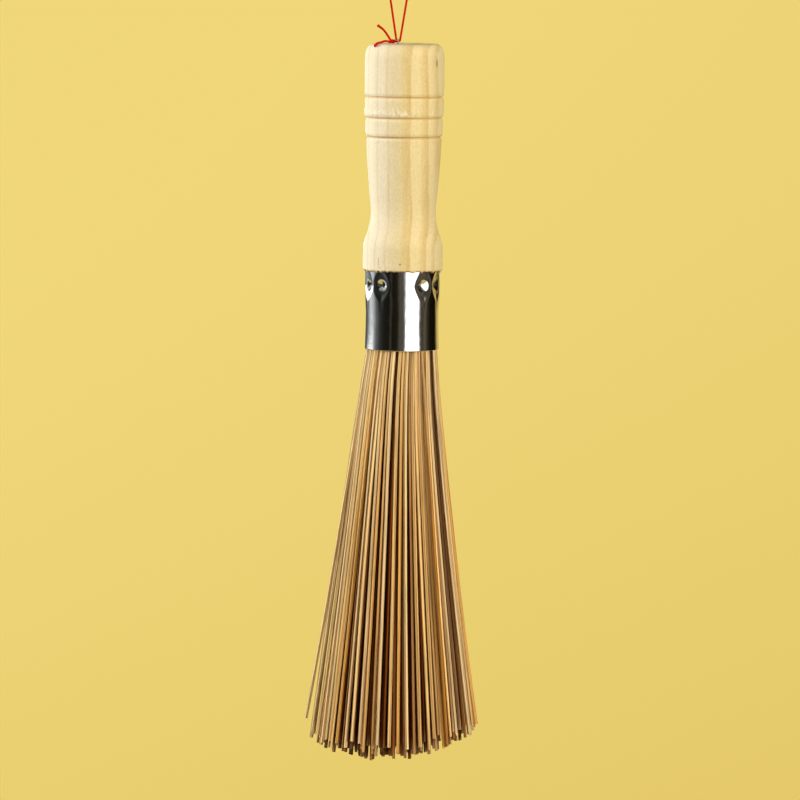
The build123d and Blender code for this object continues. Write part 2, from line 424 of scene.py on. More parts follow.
def twisted_thread(name, line, diameter, thickness=None, loose_end=0.0):
    """A mesh of plies that wind round a line; thickness gives a factor at each share of the line."""
    ply_radius = diameter / 2 / (1 + 2 / math.sqrt(3))
    ply_offset = diameter / 2 - ply_radius
    ply_radius *= ply_softness
    side = Vector((0, 1, 0))
    frames = []
    for number, point in enumerate(line):
        ahead = line[min(number + 1, len(line) - 1)] - line[max(number - 1, 0)]
        ahead.normalize()
        side = (side - ahead * side.dot(ahead)).normalized()
        frames.append((point, side.copy(), ahead.cross(side)))
    builder = bmesh.new()
    for ply in range(ply_count):
        rows = []
        for number, (point, side, across) in enumerate(frames):
            share = number / (len(frames) - 1)
            factor = thickness(share) if thickness else 1.0
            turn = 2 * math.pi * (number * thread_step / ply_turn + ply / ply_count)
            opened = 1 + loose_end * max(0.0, share - 1 + loose_share) / loose_share
            out = side * math.cos(turn) + across * math.sin(turn)
            middle = point + out * ply_offset * factor * opened
            row = []
            for corner in range(ply_sides):
                angle = 2 * math.pi * corner / ply_sides
                offset = side * math.cos(angle) + across * math.sin(angle)
                row.append(builder.verts.new(middle + offset * ply_radius * factor))
            rows.append(row)
        skin(builder, rows, False)
        builder.faces.new(list(reversed(rows[0])))
        builder.faces.new(rows[-1])
    return smooth_mesh(name, builder)


def grain(tree, place, scale, detail, roughness=0.5):
    """Noise at a place, its scale the number of features in one unit of the place."""
    inputs = {"Vector": place, "Scale": scale, "Detail": detail, "Roughness": roughness}
    return add_node(tree, "ShaderNodeTexNoise", None, inputs).outputs["Fac"]


def add_relief(tree, shader, height, strength, reach):
    """Relief that is too fine for the mesh."""
    inputs = {"Height": height, "Strength": strength, "Distance": reach}
    relief = add_node(tree, "ShaderNodeBump", None, inputs)
    tree.links.new(relief.outputs["Normal"], shader.inputs["Normal"])


thread_material, tree, shader = new_material("red_twisted_thread", 0.75, specular=0.2)
fibres = grain(tree, object_place(tree), thread_fibres_per_metre, 3.0)
thread_colour = ramped(tree, fibres, [(0.3, thread_shade), (0.7, thread_red)])
tree.links.new(thread_colour, shader.inputs["Base Color"])
add_relief(tree, shader, fibres, *thread_relief)

thread_line = evenly(smooth_line("thread_line", thread_route), thread_step)
loop_mesh = twisted_thread("hanging_loop_thread", thread_line, thread_diameter)
hanging_loop = new_object("hanging_loop_thread", loop_mesh, thread_material)
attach(hanging_loop, "thread")
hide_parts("hanging_loop")

# Knot and tails: the thread's two ends, knotted together beside the staple. One tail stands up
# to the left, the other lies forward over the shoulder.
knot_near = -1.3
knot_far = -4.05
knot_level = -28.05
knot_wraps = 2.6
knot_radius = 0.50
knot_thread = 0.86 * mm
knot_marks = 60
# the wraps run a little past both ends of the knot, and sway along it at each turn
knot_overrun = 0.45
knot_sway = 0.35
tail_diameter = 1.06 * mm
tail_looseness = 0.25
tail_thinnest = 0.92
tail_thicker_by = 0.14
swell_from = 0.6
upper_tail_route = [
    (-3.10, 0.40, -27.70),
    (-4.60, 0.45, -25.35),
    (-5.80, 0.30, -23.70),
    (-7.08, 0.10, -22.45),
    (-8.80, 0, -21.36),
]
lower_tail_route = [
    (-3.90, -0.35, -28.20),
    (-5.35, -1.90, -27.70),
    (-6.70, -4.30, -28.28),
    (-8.00, -6.90, -28.44),
    (-9.00, -8.65, -28.72),
    (-9.72, -9.95, -29.74),
]


def tail_swell(share):
    """A tail is a little thicker towards its cut end, where the plies open."""
    return tail_thinnest + tail_thicker_by * max(0.0, share - swell_from) / (1 - swell_from)


knot_line = []
for number in range(knot_marks):
    share = number / (knot_marks - 1)
    turn = 2 * math.pi * knot_wraps * share
    along = knot_near - knot_overrun + (knot_far - knot_near + 2 * knot_overrun) * share
    along += knot_sway * math.sin(turn)
    across = knot_radius * math.sin(turn)
    up = knot_radius * math.cos(turn)
    knot_line.append(Vector((along, across, knot_level + up)) * mm)
upper_tail = smooth_line("upper_tail", upper_tail_route)
lower_tail = smooth_line("lower_tail", lower_tail_route)
for name, node, line, diameter, swell, looseness in (
    ("knot_of_thread", "thread_knot", knot_line, knot_thread, None, 0.0),
    ("tail_upper", "thread_tail_upper", upper_tail, tail_diameter, tail_swell, tail_looseness),
    ("tail_lower", "thread_tail_lower", lower_tail, tail_diameter, tail_swell, tail_looseness),
):
    end_mesh = twisted_thread(name, evenly(line, thread_step), diameter, swell, looseness)
    piece = new_object(name, end_mesh, thread_material)
    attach(piece, "brush")
    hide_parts(node)

# Staple: a small U of drawn steel wire, driven into the handle's top over the thread. The packed
# node has its shape, so it only gets its finish.
wire_dull = (0.52, 0.50, 0.46)
wire_bright = (0.70, 0.68, 0.63)
draw_marks_per_metre = 3000.0
wire_material, tree, shader = new_material("drawn_wire", 0.5, 1.0)
draw_marks = grain(tree, object_place(tree), draw_marks_per_metre, 2.0)
wire_colour = ramped(tree, draw_marks, [(0.0, wire_dull), (1.0, wire_bright)])
tree.links.new(wire_colour, shader.inputs["Base Color"])
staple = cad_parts["thread_staple"]
staple.data.materials.clear()
staple.data.materials.append(wire_material)

# Handle: one piece of pale pine, turned on a lathe, with three V grooves, a long cove and a foot.
# The grain runs along it; the tool has torn the grain over the second groove and at the foot.
handle_height = 94.5
handle_sides = 208
top_round_rows = 14
foot_round_rows = 6
# how far apart the rows of points are within so far of a groove, and elsewhere
groove_steps = ((1.0, 0.1), (2.0, 0.22))
plain_step = 0.45
foot_margin = 0.3
top_round_width = 3.45
top_round_height = 5.9
top_face_shares = (0.05, 0.35, 0.65, 0.9)
barrel_radius = 16.65
groove_drops = (22.0, 30.7, 38.7)
band_radii = (barrel_radius, 16.5, 16.2, 15.75)
groove_depth = 0.85
groove_reach = 0.62
lip_reach = 1.5
lip_drop = 0.22
cove = (
    # drop below the top face, and the radius there
    (39.9, 15.75),
    (46.0, 15.50),
    (52.0, 15.12),
    (57.0, 14.72),
    (62.0, 14.30),
    (66.5, 13.86),
    (69.8, 13.68),
    (72.4, 13.76),
    (75.2, 14.08),
    (77.6, 14.62),
    (79.6, 15.2),
    (82.0, 16.10),
    (84.0, 16.62),
    (85.4, 16.75),
)
foot_radius = 16.75
foot_round = 0.8
# the turned surface is uneven: by how much, and how closely across and along the grain
tool_mark_depth, tool_marks_across, tool_marks_along = (0.025, 0.9, 0.08)
torn_lift, torn_across, torn_along = (0.50, 1.3, 0.5)
torn_dip_share = 0.25
# the torn grain: drops where it starts, is full, is still full and ends, and its reach to the front
torn_start, torn_full, torn_last, torn_end = (25.5, 28.0, 29.6, 30.3)
torn_frontness = 0.6
torn_edge, torn_inside = (-1.0, -0.35)
# the foot's edge: how deep and how closely it is frayed, and how long and how many its fibres are
fray_depth, fray_closeness = (0.15, 1.4)
fray_starts, fray_full = (1.2, 0.3)
foot_fibre_length, foot_fibres_round = (1.6, 17)
foot_fibres_start, foot_fibres_full = (0.9, 0.1)


def smooth_between(low, high, value):
    """Rises smoothly from 0 at low to 1 at high."""
    share = min(1.0, max(0.0, (value - low) / (high - low)))
    return share * share * (3 - 2 * share)


def cove_radius(drop):
    """The handle's radius in the cove, on a smooth line through its points."""
    for number in range(len(cove) - 1):
        if drop <= cove[number + 1][0]:
            break
    (drop_1, radius_1), (drop_2, radius_2) = cove[number], cove[number + 1]
    before = cove[max(number - 1, 0)]
    after = cove[min(number + 2, len(cove) - 1)]
    slope_1 = (radius_2 - before[1]) / (drop_2 - before[0])
    slope_2 = (after[1] - radius_1) / (after[0] - drop_1)
    span = drop_2 - drop_1
    share = (drop - drop_1) / span
    return (
        radius_1 * (1 + 2 * share) * (1 - share) ** 2
        + slope_1 * span * share * (1 - share) ** 2
        + radius_2 * share**2 * (3 - 2 * share)
        + slope_2 * span * share**2 * (share - 1)
    )


def turned_radius(drop):
    """The turned radius at a drop below the top face."""
    if drop < top_round_height:
        rise = (top_round_height - drop) / top_round_height
        return barrel_radius - top_round_width + top_round_width * math.sqrt(max(0.0, 1 - rise**2))
    if drop > handle_height - foot_round:
        rise = (drop - handle_height + foot_round) / foot_round
        return foot_radius - foot_round + foot_round * math.sqrt(max(0.0, 1 - rise**2))
    if drop > cove[-1][0]:
        return foot_radius
    if drop > cove[0][0]:
        radius = cove_radius(drop)
    else:
        radius = band_radii[sum(drop > groove for groove in groove_drops)]
    for groove in groove_drops:
        off = abs(drop - groove)
        if off < groove_reach:
            radius -= (groove_depth - lip_drop) * (1 - off / groove_reach)
        radius -= lip_drop * (1 - smooth_between(groove_reach, lip_reach, off))
    return radius


def unevenness(x, y, z):
    """A number from about -1 to 1 that changes smoothly over about 1 in each direction."""
    return noise.noise(Vector((x, y, z)))


def worn_radius(drop, turn):
    """The radius with the tool's marks, the torn grain on the left of the front, and the frayed foot."""
    radius = turned_radius(drop)
    x = math.cos(turn) * radius
    y = math.sin(turn) * radius
    marks = unevenness(x * tool_marks_across, y * tool_marks_across, drop * tool_marks_along)
    radius += tool_mark_depth * marks
    if math.sin(turn) < 0:
        torn = smooth_between(torn_start, torn_full, drop)
        torn *= 1 - smooth_between(torn_last, torn_end, drop)
        to_the_left = -math.sin(turn) * torn_frontness - math.cos(turn)
        torn *= smooth_between(torn_edge, torn_inside, to_the_left)
        lifted = unevenness(x * torn_across, y * torn_across, drop * torn_along)
        radius += torn_lift * torn * max(-torn_dip_share, lifted)
    frayed = smooth_between(handle_height - fray_starts, handle_height - fray_full, drop)
    radius -= fray_depth * frayed * max(0.0, unevenness(x * fray_closeness, y * fray_closeness, 3.0))
    return radius


def foot_fibre(drop, turn, radius):
    """How far the fibres hang down from the foot's edge."""
    if radius <= foot_radius - 1.0:
        return 0.0
    edge = smooth_between(handle_height - foot_fibres_start, handle_height - foot_fibres_full, drop)
    x = math.cos(turn) * foot_fibres_round
    y = math.sin(turn) * foot_fibres_round
    return foot_fibre_length * edge * max(0.0, unevenness(x, y, 7.0))


def handle_corner(builder, turn, radius, drop):
    """A corner of the handle's mesh."""
    place = Vector((math.cos(turn) * radius, math.sin(turn) * radius, -drop))
    return builder.verts.new(Vector((handle_axis_x, 0, handle_top)) + place * mm)


# the rows of points are closest at the rounds and in the grooves
quarters = [math.pi / 2 * row / top_round_rows for row in range(top_round_rows + 1)]
handle_drops = [top_round_height * (1 - math.cos(quarter)) for quarter in quarters]
drop = handle_drops[-1]
while drop < handle_height - foot_round - foot_margin:
    nearest = min(abs(drop - groove) for groove in groove_drops)
    drop += next((gap for reach, gap in groove_steps if nearest < reach), plain_step)
    handle_drops.append(drop)
quarters = [math.pi / 2 * row / foot_round_rows for row in range(foot_round_rows + 1)]
handle_drops += [handle_height - foot_round * (1 - math.sin(quarter)) for quarter in quarters]
handle_turns = [2 * math.pi * side / handle_sides for side in range(handle_sides)]
builder = bmesh.new()
rows = []
for share in top_face_shares:
    radius = (barrel_radius - top_round_width) * share
    rows.append([handle_corner(builder, turn, radius, 0.0) for turn in handle_turns])
for drop in handle_drops:
    row = []
    for turn in handle_turns:
        radius = worn_radius(drop, turn)
        row.append(handle_corner(builder, turn, radius, drop + foot_fibre(drop, turn, radius)))
    rows.append(row)
skin(builder, rows, True)
builder.faces.new(rows[0])
builder.faces.new(list(reversed(rows[-1])))
handle_mesh = smooth_mesh("turned_handle", builder)

pine_pale = (0.88, 0.755, 0.530, 1)
pine_yellow = (0.75, 0.595, 0.295, 1)
pine_late = (0.61, 0.410, 0.135, 1)
pine_fleck = (0.50, 0.30, 0.11, 1)
pine_pore = (0.46, 0.26, 0.09, 1)
pine_torn = (0.95, 0.85, 0.62, 1)
# the grooves' painted shade, and the foot's dark joint
pine_groove_shade_and_joint = (0.62, 0.38, 0.13, 1)
pine_mark = (0.24, 0.11, 0.03, 1)
# growth rings: the tree's middle is far off to the left, so they cross the front as upright bands,
# the wood paler and plainer towards that middle
tree_middle = (-58.0, 9.0)
ring_wander = 3.4
pale_to, yellow_from = (53.0, 63.0)
nearest_wood = 40.0
wood_reach = 38.0
growth_rings = (
    # where the late wood of each ring starts and ends, from the tree's middle, and its strength
    (44.9, 46.0, 0.35),
    (50.4, 51.4, 0.30),
    (55.6, 56.5, 0.40),
    (61.9, 65.6, 0.85),
    (68.6, 71.1, 1.00),
    (72.9, 74.1, 0.85),
)
# a grain is so many features to 1 mm across and along the handle, and its detail; the shares that
# follow it are the noise where it starts and where it is full, and what it gives at each
ring_grain = (0.10, 0.022, 3.0)
faint_grain, faint_shares = ((0.5, 0.035, 2.0), (0.3, 0.65, 0.55, 1.0))
long_fibres = (2.6, 0.06, 5.0)
pine_grains = (
    # long fibres, flecks, fuzz and pores, each with its colour, or none where it's a shade
    (long_fibres, (0.3, 0.7, 0.955, 1.03), None),
    ((5.0, 0.9, 2.0), (0.66, 0.80, 0.0, 0.30), pine_fleck),
    ((1.6, 0.9, 4.0), (0.3, 0.7, 0.90, 1.06), None),
    ((3.0, 0.20, 2.0), (0.71, 0.82, 0.0, 0.40), pine_pore),
)
# torn grain over the second groove, on the left of the front, is paler and fuzzy
torn_grain, torn_shares = ((1.3, 0.9, 4.0), (0.42, 0.60, 0.0, 0.60))
torn_edges = (
    # axis on the handle, where the torn grain starts and where it is full
    ("Z", -26.3, -29.0),
    ("Z", -torn_end, -torn_last),
    ("X", 4.5, 1.0),
    ("Y", 2.0, -3.0),
)
torn_relief = 1.5
pine_relief = (0.35, 0.12 * mm)
# distance where the foot's dark joint and the grooves' painted shade start and are full, and the share at
# each
foot_joint_shares = (0.5, 0.0, 0.0, 0.5)
groove_shade_shares = (groove_reach, 0.15, 0.0, 0.55)
# marks: a dark streak near the top, a resin dot and a short crack at the foot
mark_edges = (1.15, 0.55)
pine_marks = (
    # place from the axis and below the top, half sizes, strength
    ((13.4, -9.6, -7.8), (0.42, 1.6, 1.9), 0.75),
    ((-1.1, -16.7, -91.4), (0.42, 1.2, 0.40), 0.85),
    ((-10.2, -13.3, -90.8), (0.20, 1.6, 2.6), 0.55),
    ((-9.6, -13.6, -93.0), (0.55, 1.6, 0.20), 0.50),
)
pine_material, tree, shader = new_material("turned_pine", 0.50, specular=0.25)
handle_in_mm = add_node(
    tree,
    "ShaderNodeMapping",
    None,
    {
        "Vector": object_place(tree),
        "Location": (-handle_axis_x / mm, 0, -handle_top / mm),
        "Scale": (1 / mm, 1 / mm, 1 / mm),
    },
).outputs["Vector"]


def stretched(tree, place, stretch):
    """A place with each axis stretched, so that a grain on it is drawn out along the smallest."""
    inputs = {"Vector": place, "Scale": stretch}
    return add_node(tree, "ShaderNodeMapping", None, inputs).outputs["Vector"]


def wood_grain(across, along, detail):
    """Grain in the pine, with so many features to 1 mm across and along the handle."""
    return grain(tree, stretched(tree, handle_in_mm, (across, across, along)), 1.0, detail, 0.6)


def vector_sum(tree, operation, first, inputs):
    """The result of one sum on a colour or a place."""
    node = add_node(tree, "ShaderNodeVectorMath", {"operation": operation}, {0: first, **inputs})
    return node.outputs["Value" if operation == "LENGTH" else "Vector"]


on_handle = parts_of(tree, handle_in_mm)
from_tree = [math_node(tree, "SUBTRACT", on_handle[axis], middle) for axis, middle in zip("XY", tree_middle)]
from_middle = distance_across(tree, *from_tree)
wander = math_node(tree, "SUBTRACT", wood_grain(*ring_grain), 0.5)
from_middle = math_node(tree, "MULTIPLY_ADD", wander, ring_wander, from_middle)
late_stops = [(0.0, (0, 0, 0))]
for ring_start, ring_end, strength in growth_rings:
    for distance, darkness in (
        (ring_start - 0.3, 0.0),
        (ring_start + (ring_end - ring_start) * 0.45, 0.6),
        (ring_end - 0.2, 1.0),
        (ring_end + 0.25, 0.0),
    ):
        late_stops.append(((distance - nearest_wood) / wood_reach, (darkness * strength,) * 3))
late_stops.append((1.0, (0, 0, 0)))
ring_share = math_node(tree, "DIVIDE", math_node(tree, "SUBTRACT", from_middle, nearest_wood), wood_reach)
late_share = ramped(tree, ring_share, late_stops)
faint = mapped(tree, wood_grain(*faint_grain), *faint_shares)
late_share = math_node(tree, "MULTIPLY", late_share, faint)
pine_colour = mixed(tree, mapped(tree, from_middle, pale_to, yellow_from), pine_pale, pine_yellow)
pine_colour = mixed(tree, late_share, pine_colour, pine_late)
for features, shares, colour in pine_grains:
    share = mapped(tree, wood_grain(*features), *shares)
    if colour:
        pine_colour = mixed(tree, share, pine_colour, colour)
    else:
        pine_colour = vector_sum(tree, "SCALE", pine_colour, {"Scale": share})
torn_share = mapped(tree, wood_grain(*torn_grain), *torn_shares)
for axis, outside, inside in torn_edges:
    torn_share = math_node(tree, "MULTIPLY", torn_share, mapped(tree, on_handle[axis], outside, inside))
pine_colour = mixed(tree, torn_share, pine_colour, pine_torn)
# painted shade: the grooves are darker and browner, as in their shadow; the foot's edge is browner at its
# joint with the ferrule
foot_off = math_node(tree, "ADD", on_handle["Z"], handle_height)
groove_shade_and_joint = mapped(tree, foot_off, *foot_joint_shares)
for groove in groove_drops:
    off = math_node(tree, "ABSOLUTE", math_node(tree, "ADD", on_handle["Z"], groove))
    groove_shade_and_joint = math_node(tree, "MAXIMUM", groove_shade_and_joint, mapped(tree, off, *groove_shade_shares))
pine_colour = mixed(tree, groove_shade_and_joint, pine_colour, pine_groove_shade_and_joint)
fibre = wood_grain(*long_fibres)
for middle, half_sizes, strength in pine_marks:
    off = vector_sum(tree, "SUBTRACT", handle_in_mm, {1: middle})
    off = vector_sum(tree, "LENGTH", vector_sum(tree, "DIVIDE", off, {1: half_sizes}), {})
    off = math_node(tree, "ADD", off, math_node(tree, "SUBTRACT", fibre, 0.5))
    pine_colour = mixed(tree, mapped(tree, off, *mark_edges, 0.0, strength), pine_colour, pine_mark)
tree.links.new(pine_colour, shader.inputs["Base Color"])
relief = math_node(tree, "MULTIPLY_ADD", torn_share, torn_relief, fibre)
add_relief(tree, shader, relief, *pine_relief)
handle = new_object("turned_handle", handle_mesh, pine_material)
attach(handle, "brush")
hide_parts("handle")

# Ferrule: thin sheet steel rolled into a tube, plated bright and crimped on to the tenon by
# eight punches, each in its own shallow hollow. Its edges are plain cut.
ferrule_radius = 15.65
ferrule_wall = 0.4
ferrule_height = 33.3
ferrule_sides = 380
ferrule_rows = 100
straight_drop = 9.5
waist_drop = 19.0
waist_radius = 15.3
mouth_radius = 15.6
dimple_drop = 6.1
dimple_angles = (35.5, 68.0)
pit_radius = 2.75
pit_depth = 1.6
# the punch's point stands a little to the left of the pit's middle and above it
pit_point = Vector((-0.5, -0.35))
dish_width = 4.7
dish_half_height = 6.6
dish_depth = 0.55
dish_pinch_share = 0.35
# from the dish's rim to its floor, as shares of the way in
dish_rim, dish_floor = (-0.20, 0.95)
# the pit is mostly a cone, and the rest of it is rounded
pit_cone_share = 0.7
# a crease runs down from each dish: where it starts, is full, is still full and ends
crease_width = 0.85
crease_depth = 0.09
crease_start, crease_full, crease_last, crease_end = (2.0, 5.0, 6.0, 13.0)
edge_round = 0.16
edge_draw = 0.10
edge_drops = (0.0, 0.03, 0.08, 0.16)
edge_margin = 0.3
sheet_waves = (
    # height, how close the waves are round the tube and along it, and where their pattern starts
    (0.035, 2.2, 0.09, 0),
    (0.012, 7.0, 0.35, 9),
)
seam_turn = math.pi / 2
seam_width = 0.3
seam_depth = 0.22
seam_bottom, seam_lip = (0.5, 0.75)
plate_grey = (0.74, 0.74, 0.75)
plate_bright = (0.88, 0.88, 0.88)
plate_clouds_per_metre = 260.0
plate_specks_per_metre = 1900.0
# the cloud where it starts and is full, and the roughness there
plate_roughness = (0.35, 0.75, 0.04, 0.16)
plate_relief = (0.50, 0.04 * mm)


def tube_radius(drop):
    """The tube's outer radius at a drop below its top edge."""
    if drop < straight_drop:
        return ferrule_radius
    if drop < waist_drop:
        share = smooth_between(straight_drop, waist_drop, drop)
        return ferrule_radius + (waist_radius - ferrule_radius) * share
    share = (drop - waist_drop) / (ferrule_height - waist_drop)
    return waist_radius + (mouth_radius - waist_radius) * share**2


def pit_share(from_point):
    """How near a place is to the punch's point, from 0 at the pit's rim to 1."""
    if from_point.length == 0:
        return 1.0
    towards_rim = pit_point.dot(from_point) / from_point.length
    rim = math.sqrt(towards_rim**2 + pit_radius**2 - pit_point.length_squared) - towards_rim
    return max(0.0, 1 - from_point.length / rim)


def punched(turn, drop):
    """How far the punches push the sheet in at a place on the tube."""
    deepest = 0.0
    along = drop - dimple_drop
    pinched = dish_width * (1 - dish_pinch_share * min(1.0, abs(along) / dish_half_height))
    crease = smooth_between(crease_start, crease_full, along)
    crease *= 1 - smooth_between(crease_last, crease_end, along)
    for dimple in dimple_turns:
        around = (math.degrees(turn) - dimple + 180) % 360 - 180
        across = math.radians(around) * ferrule_radius
        dish = 1 - (across / pinched) ** 2 - (along / dish_half_height) ** 2
        depth = dish_depth * smooth_between(dish_rim, dish_floor, dish)
        depth += crease_depth * crease * math.exp(-((across / crease_width) ** 2))
        share = pit_share(Vector((across, along)) - pit_point)
        rounded = smooth_between(0, 1, share)
        depth += pit_depth * (pit_cone_share * share + (1 - pit_cone_share) * rounded)
        deepest = max(deepest, depth)
    return deepest


dimple_turns = []
for angle in dimple_angles:
    dimple_turns += [-90 + angle, -90 - angle, 90 + angle, 90 - angle]
sheet_turns = [2 * math.pi * number / ferrule_sides for number in range(ferrule_sides)]
for off in (-seam_lip, -seam_bottom, 0, seam_bottom, seam_lip):
    sheet_turns.append(seam_turn + off * seam_width / ferrule_radius)
sheet_turns.sort()
sheet_drops = list(edge_drops)
plain_height = ferrule_height - 2 * edge_margin
sheet_drops += [edge_margin + plain_height * row / ferrule_rows for row in range(ferrule_rows + 1)]
sheet_drops += [ferrule_height - drop for drop in reversed(edge_drops)]
ferrule_top = handle_top - handle_height * mm
builder = bmesh.new()
outer_rows = []
inner_rows = []
for drop in sheet_drops:
    outer_row = []
    inner_row = []
    level = Vector((handle_axis_x, 0, ferrule_top - drop * mm))
    drawn_in = edge_draw * (1 - smooth_between(0, edge_round, min(drop, ferrule_height - drop)))
    for turn in sheet_turns:
        out = Vector((math.cos(turn), math.sin(turn), 0))
        radius = tube_radius(drop) - punched(turn, drop)
        for height, around, along, start in sheet_waves:
            radius += height * unevenness(out.x * around, out.y * around, drop * along + start)
        from_seam = abs(turn - seam_turn) * ferrule_radius / seam_width
        notch = seam_depth * (1 - smooth_between(seam_bottom, seam_lip, from_seam))
        outer_row.append(builder.verts.new(level + out * (radius - drawn_in - notch) * mm))
        inner_row.append(builder.verts.new(level + out * (radius - ferrule_wall + drawn_in) * mm))
    outer_rows.append(outer_row)
    inner_rows.append(inner_row)
skin(builder, outer_rows, True)
skin(builder, inner_rows, False)
skin(builder, [outer_rows[0], inner_rows[0]], False)
skin(builder, [outer_rows[-1], inner_rows[-1]], True)
ferrule_mesh = smooth_mesh("crimped_ferrule", builder)

plate_material, tree, shader = new_material("bright_plate", 0.06, 1.0)
place = object_place(tree)
cloud = grain(tree, place, plate_clouds_per_metre, 4.0)
plate_colour = ramped(tree, cloud, [(0.0, plate_grey), (1.0, plate_bright)])
tree.links.new(plate_colour, shader.inputs["Base Color"])
tree.links.new(mapped(tree, cloud, *plate_roughness), shader.inputs["Roughness"])
add_relief(tree, shader, grain(tree, place, plate_specks_per_metre, 3.0), *plate_relief)
ferrule = new_object("crimped_ferrule", ferrule_mesh, plate_material)
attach(ferrule, "brush")
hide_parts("ferrule")

# Splints: about 360 strips split from bamboo, square cut, packed in rings into the ferrule's
# mouth and glued. They fan out below it and lean a little to the left. Each is bent and turned
# its own way, they end unevenly, and a few have sprung out of the bundle.
splint_side = 1.14
thin_share = 0.82
slimmest_share = 0.56
widest_share = 1.20
splint_gap = 0.06
ring_gap = 0.10
bundle_radius = 14.7
splint_points = 15
missing_share = 0.14
keeping_share = 0.92
least_thickness = 0.25
dome_depth_share = 0.45
fan_power = 1.1
stray_power = 1.2
wave_turn = 4.0
wave_share = 0.3
full_turn = 6.283
mouth_level = handle_top / mm - handle_height - ferrule_height
bundle_sizes = {
    "Splint side": splint_side * mm,
    "Bundle radius": bundle_radius * mm,
    "Tip radius": 36.2 * mm,
    "Quick spread": 0.03,
    "Quick drop": 8.0 * mm,
    "Reach": 169.5 * mm,
    "Inside": 6.0 * mm,
    "Root scatter": 0.28 * mm,
    "Dome rise": 9.5 * mm,
    "Tip slope": 2.4 * mm,
    "Tip scatter": 3.4 * mm,
    "Side scatter": 0.75 * mm,
    "Wide scatter": 1.9 * mm,
    "Lean": 1.9 * mm,
    "Lean drop": 24.0 * mm,
    "Mouth level": mouth_level * mm,
    "Axis X": handle_axis_x,
}
sprung_strips = (
    # the root, the bend and the tip, each to the right of the axis, behind it and above the mouth;
    # then how much slimmer the strip is
    (((-14.0, -4.0, 0), (-25.0, -7.0, -78.0), (-38.6, -9.0, -155.5)), 0.22),
    (((8.4, -12.2, 0), (14.4, -22.2, -82.0), (20.6, -29.0, -164.0)), 0.62),
    (((2.0, 14.4, 0), (-5.0, 25.5, -82.0), (-13.0, 33.2, -158.0)), 0.25),
)
bamboo_tones = (
    # share of the strips, and the colour there
    (0.00, (0.90, 0.665, 0.365)),
    (0.20, (0.90, 0.610, 0.265)),
    (0.40, (0.88, 0.595, 0.290)),
    (0.55, (0.88, 0.550, 0.185)),
    (0.70, (0.88, 0.515, 0.190)),
    (0.84, (0.82, 0.425, 0.105)),
    (1.00, (0.47, 0.185, 0.030)),
)
# painted light: the paler colour of the strips just below the mouth
bamboo_painted_light = (0.98, 0.79, 0.43, 1)
# painted shade: the colour that darkens the strips deep in the bundle, and the colour that leaves a strip as
# it is
bamboo_painted_shade = (0.24, 0.09, 0.02, 1)
bamboo_unshaded = (1, 1, 1, 1)
fibre_stretch = (2.6, 2.6, 3.0)
stain_stretch = (1.1, 1.1, 9.0)
own_place_x = 61.0
own_place_y = 37.0
# where each shade or share starts and is full, and what it is at each
fibre_shades = (0.38, 0.60, 0.64, 1.07)
stain_shades = (0.34, 0.46, 0.72, 1.0)
# painted shade along the strips' arrises
arris_painted_shades = (0.70, 1.0, 1.0, 0.28)
# the painted light below the mouth
mouth_light_shares = (0.10, 0.45, 0.26, 0.0)
# the painted shade deep in the bundle, and how much of it is left at the strips' ends
deep_shade_shares = (0.04, 0.17, 0.0, 1.0)
end_shade_shares = (0.97, 0.998, 1.0, 0.70)
bamboo_relief = (0.5, 0.1 * mm)



def joined(tree, x, y, z=0.0):
    """The place that has this x, y and z."""
    return add_node(tree, "ShaderNodeCombineXYZ", None, {0: x, 1: y, 2: z}).outputs[0]


bamboo_material, tree, shader = new_material("split_bamboo", 0.45, specular=0.2)
tone, along, depth, across = [
    add_node(tree, "ShaderNodeAttribute", {"attribute_name": name}).outputs
    for name in ("tone", "along", "depth", "across")
]
tone, along, depth = tone["Fac"], along["Fac"], depth["Fac"]
across = parts_of(tree, across["Vector"])
# each strip has its own place in the grain, by its tone
own_x = math_node(tree, "MULTIPLY_ADD", tone, own_place_x, across["X"])
own_y = math_node(tree, "MULTIPLY_ADD", tone, own_place_y, across["Y"])
own_place = joined(tree, own_x, own_y, along)
# long fibres, and the shorter dark stains that cross a few of them
fibres = grain(tree, stretched(tree, own_place, fibre_stretch), 1.0, 4.0)
stains = grain(tree, stretched(tree, own_place, stain_stretch), 1.0, 3.0)
shade = mapped(tree, fibres, *fibre_shades)
shade = math_node(tree, "MULTIPLY", shade, mapped(tree, stains, *stain_shades))
# painted shade: the strips are darkened along their arrises, for the shadow in the lines between them
near_side = math_node(tree, "DIVIDE", math_node(tree, "ABSOLUTE", across["X"]), splint_side / 2)
near_face = math_node(
    tree, "DIVIDE", math_node(tree, "ABSOLUTE", across["Y"]), splint_side / 2 * thin_share
)
near_arris = math_node(tree, "MINIMUM", near_side, near_face)
shade = math_node(tree, "MULTIPLY", shade, mapped(tree, near_arris, *arris_painted_shades))
# painted light: the strips are paler just below the mouth, as if more light fell on them there
mouth_painted_light = mapped(tree, along, *mouth_light_shares)
bamboo_colour = mixed(tree, mouth_painted_light, ramped(tree, tone, bamboo_tones), bamboo_painted_light)
bamboo_colour = vector_sum(tree, "SCALE", bamboo_colour, {"Scale": shade})
# painted shade: the strips deep in the bundle are darkened and reddened as the bundle's shadow would darken
# them, and less so at their cut ends
deep_shade_share = mapped(tree, depth, *deep_shade_shares, easing="SMOOTHSTEP")
deep_shade_share = math_node(tree, "MULTIPLY", deep_shade_share, mapped(tree, along, *end_shade_shares))
deep_shade_tint = mixed(tree, deep_shade_share, bamboo_unshaded, bamboo_painted_shade)
bamboo_colour = vector_sum(tree, "MULTIPLY", bamboo_colour, {1: deep_shade_tint})
tree.links.new(bamboo_colour, shader.inputs["Base Color"])
add_relief(tree, shader, fibres, *bamboo_relief)

